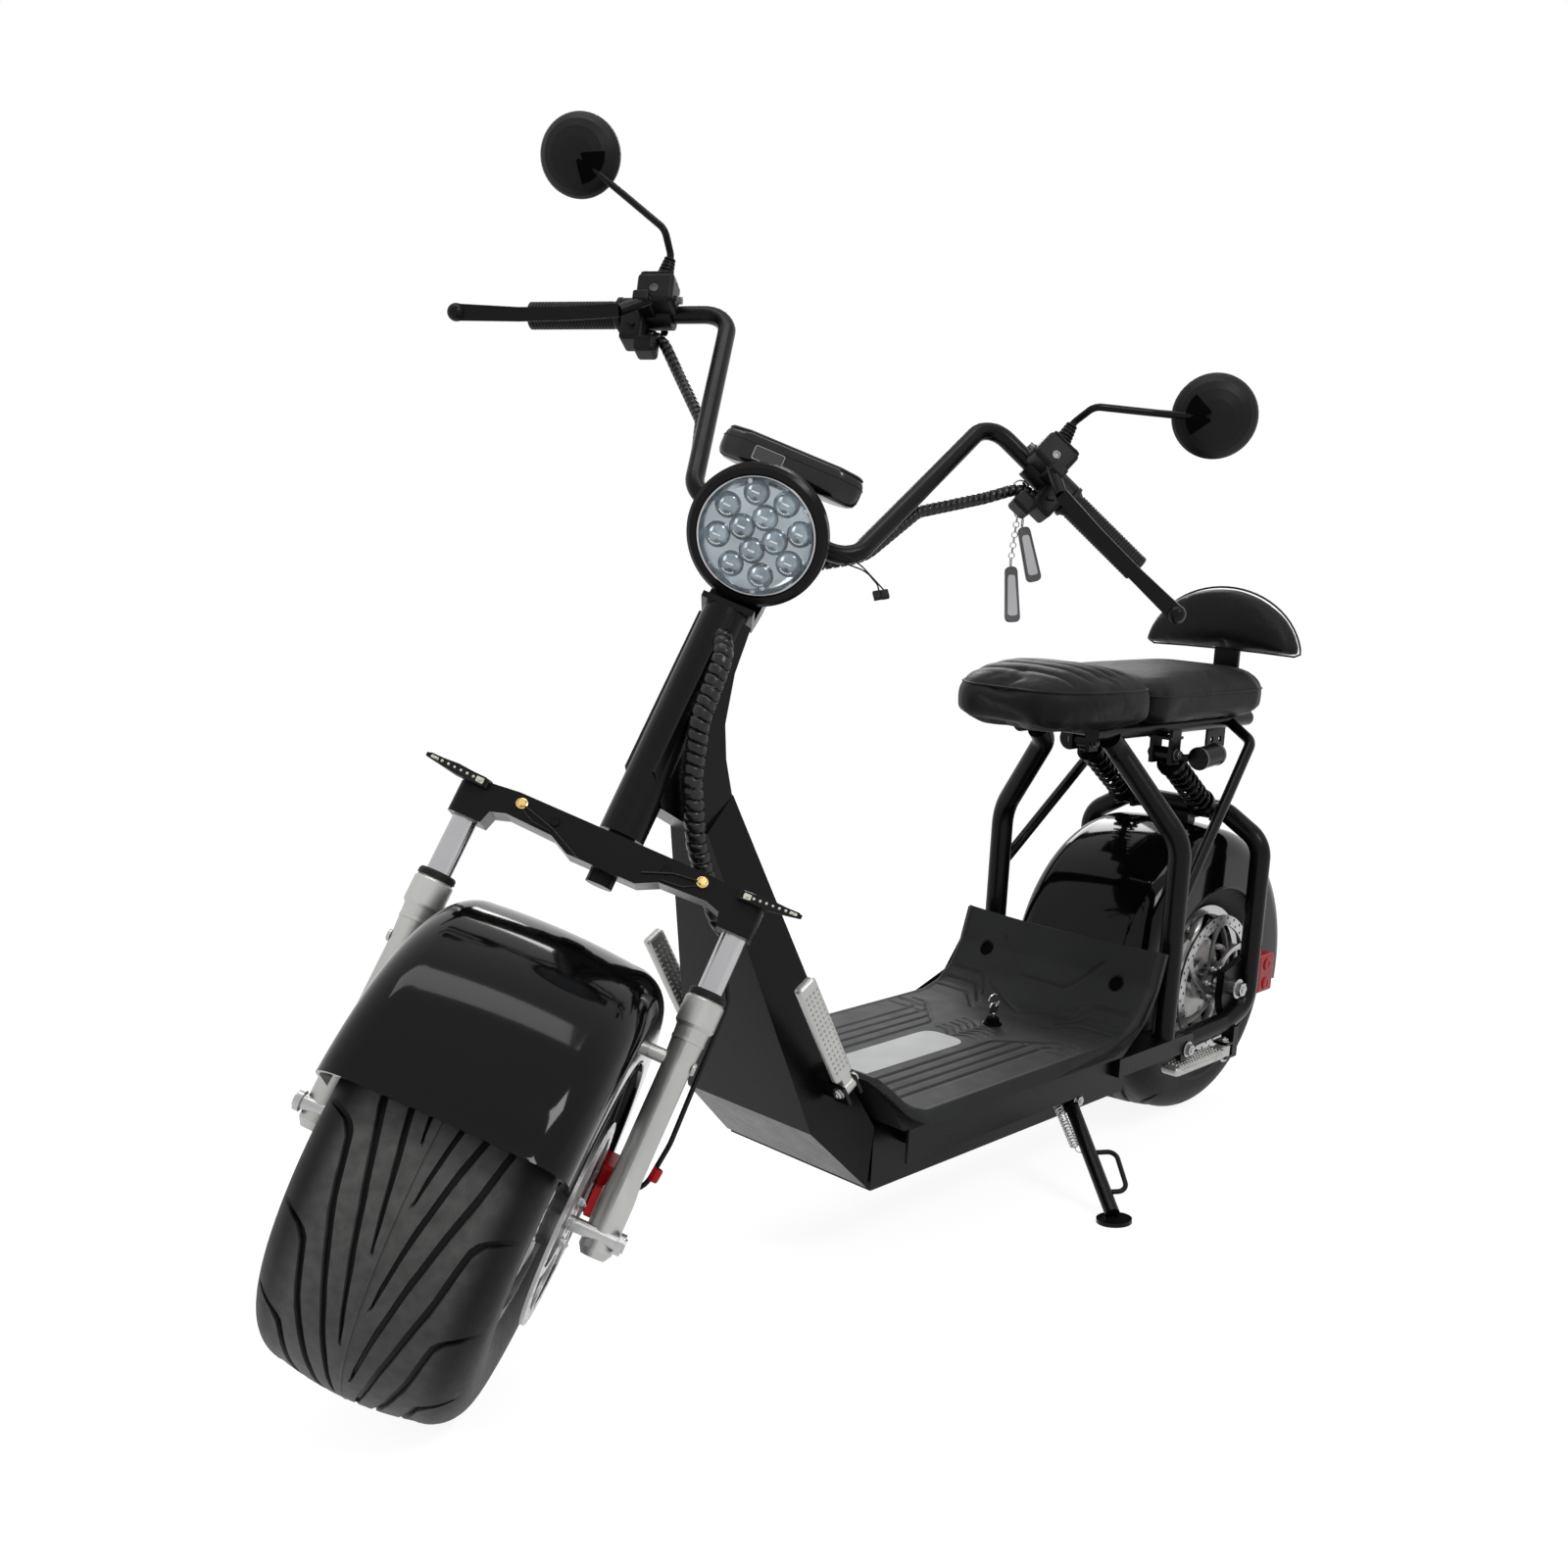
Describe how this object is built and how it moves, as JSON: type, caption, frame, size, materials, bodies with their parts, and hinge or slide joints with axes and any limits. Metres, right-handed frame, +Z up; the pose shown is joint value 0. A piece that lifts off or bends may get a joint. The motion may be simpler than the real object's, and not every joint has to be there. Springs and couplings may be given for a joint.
{
  "type": "electric chopper scooter",
  "caption": "Low electric two-wheeler with wide tyres, raked fork, high handlebar, ribbed footboard, two seats and a backrest, leaning on its side stand.",
  "frame": {"origin": "middle of the bounding box, on the floor it stands on", "axes": "+X forward along the frame, +Y to the rider's left, +Z up"},
  "size_m": [1.7602, 0.7217, 1.3927],
  "materials": {
    "battery_case": "matte",
    "caliper_red": "gloss",
    "cast_silver": "satin",
    "dash_black": "gloss",
    "frame_black": "satin",
    "gloss_black": "gloss",
    "lens_clear": "clear",
    "mat_rubber": "matte",
    "plastic_black": "matte",
    "polished": "polished",
    "rubber": "matte",
    "seat_leather": "satin",
    "steel": "brushed",
    "tail_red": "gloss",
    "tyre": "matte"
  },
  "bodies": {
    "frame": {"deck_tray": "frame_black", "battery": "battery_case", "rear_axle": "steel", "swingarm_bolts": "steel", "frame_spine": "frame_black", "frame_loom": "rubber", "footboard_mat": "mat_rubber", "seat_frame": "frame_black", "seat_front": "seat_leather", "seat_rear": "seat_leather", "backrest": "seat_leather", "rear_fender": "gloss_black", "tail_lamp": "tail_red", "swingarm": "frame_black", "peg_brackets": "frame_black", "shocks": "frame_black", "shock_springs": "gloss_black", "rear_caliper": "caliper_red", "stand_bracket": "frame_black"},
    "steering": {"stanchions": "polished", "sliders": "cast_silver", "front_axle": "steel", "grips": "rubber", "mirror_heads": "plastic_black", "crown": "frame_black", "steering_stem": "frame_black", "headlight_shell": "frame_black", "headlight_lens": "lens_clear", "front_fender": "gloss_black", "signals": "plastic_black", "handlebar": "frame_black", "bar_controls": "plastic_black", "brake_levers": "frame_black", "mirror_arms": "frame_black", "dash": "dash_black", "front_caliper": "caliper_red", "steering_cables": "rubber"},
    "front_wheel": {"front_tyre": "tyre", "front_rim": "polished", "front_disc": "steel"},
    "rear_wheel": {"rear_tyre": "tyre", "rear_rim": "polished", "rear_disc": "steel"},
    "side_stand": {"stand_leg": "frame_black"},
    "peg_front_left": {"peg_front_left": "cast_silver"},
    "peg_front_right": {"peg_front_right": "cast_silver"},
    "peg_rear_left": {"peg_rear_left": "cast_silver"},
    "peg_rear_right": {"peg_rear_right": "cast_silver"}
  },
  "joints": [
    {"name": "steering_turn", "type": "hinge", "parent": "frame", "child": "steering", "pos_m": [0.63783, -0.02554, 0.21737], "axis": [-0.5117, 0.1049, 0.8527], "range_deg": [-82, 0]},
    {"name": "front_wheel_spin", "type": "hinge", "parent": "steering", "child": "front_wheel", "pos_m": [0.65729, -0.0046, 0.22647], "axis": [-0.5633, 0.7084, -0.4252], "continuous": true},
    {"name": "rear_wheel_spin", "type": "hinge", "parent": "frame", "child": "rear_wheel", "pos_m": [-0.63333, -0.0255, 0.21272], "axis": [0.0005, 0.9925, -0.1219], "continuous": true},
    {"name": "side_stand_fold", "type": "hinge", "parent": "frame", "child": "side_stand", "pos_m": [-0.22795, 0.10147, 0.11608], "axis": [0.0462, 0.6424, 0.765], "range_deg": [0, 96.9]},
    {"name": "peg_front_left_fold", "type": "hinge", "parent": "frame", "child": "peg_front_left", "pos_m": [0.20861, 0.1011, 0.22964], "axis": [-0.8612, 0.0623, 0.5045], "range_deg": [0, 90]},
    {"name": "peg_front_right_fold", "type": "hinge", "parent": "frame", "child": "peg_front_right", "pos_m": [0.2085, -0.14505, 0.25986], "axis": [0.8612, -0.0623, -0.5045], "range_deg": [0, 90]},
    {"name": "peg_rear_left_fold", "type": "hinge", "parent": "frame", "child": "peg_rear_left", "pos_m": [-0.60691, 0.12047, 0.10523], "axis": [-0.0038, 0.1219, 0.9925], "range_deg": [0, 90]},
    {"name": "peg_rear_right_fold", "type": "hinge", "parent": "frame", "child": "peg_rear_right", "pos_m": [-0.60706, -0.19317, 0.14374], "axis": [0.0038, -0.1219, -0.9925], "range_deg": [0, 90]}
  ]
}
